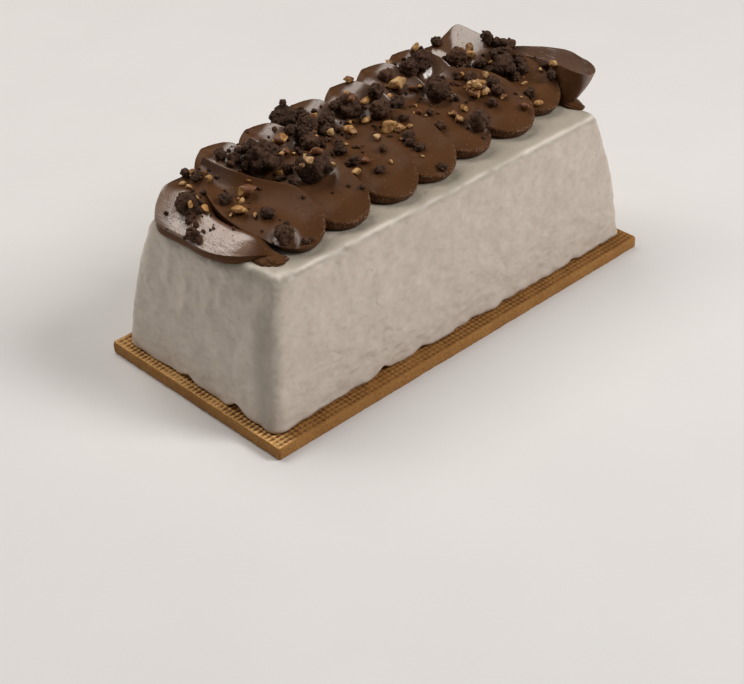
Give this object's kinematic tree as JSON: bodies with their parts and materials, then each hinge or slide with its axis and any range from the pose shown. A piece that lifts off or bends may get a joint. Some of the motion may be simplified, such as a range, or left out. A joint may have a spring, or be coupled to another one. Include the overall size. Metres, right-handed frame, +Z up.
{
  "type": "semifreddo",
  "caption": "Loaf-shaped semifreddo with a pale glaze on a thin biscuit base, topped with chocolate cream piped in overlapping folds, cocoa crumbs and chopped nuts.",
  "frame": {"origin": "middle of the biscuit's underside", "axes": "+X along the loaf's length, +Y across it, +Z up"},
  "size_m": [0.2, 0.095, 0.0849],
  "materials": {
    "biscuit": "dry baked biscuit with a fine woven imprint",
    "pale_glaze": "soft satin off-white glaze with faint runs and specks",
    "chocolate_cream": "satin chocolate cream with fine bubbles",
    "cocoa_crumb": "rough dark cocoa biscuit crumb",
    "chopped_nut": "toasted chopped nut"
  },
  "bodies": {
    "root": {"biscuit_base": "biscuit", "semifreddo_loaf": "pale_glaze", "chocolate_cream": "chocolate_cream", "cocoa_crumb_01": "cocoa_crumb", "cocoa_crumb_02": "cocoa_crumb", "cocoa_crumb_03": "cocoa_crumb", "cocoa_crumb_04": "cocoa_crumb", "cocoa_crumb_05": "cocoa_crumb", "cocoa_crumb_06": "cocoa_crumb", "cocoa_crumb_07": "cocoa_crumb", "cocoa_crumb_08": "cocoa_crumb", "cocoa_crumb_09": "cocoa_crumb", "cocoa_crumb_10": "cocoa_crumb", "cocoa_crumb_11": "cocoa_crumb", "cocoa_crumb_12": "cocoa_crumb", "cocoa_crumb_13": "cocoa_crumb", "cocoa_crumb_14": "cocoa_crumb", "nut_cluster": "chopped_nut"}
  },
  "joints": []
}
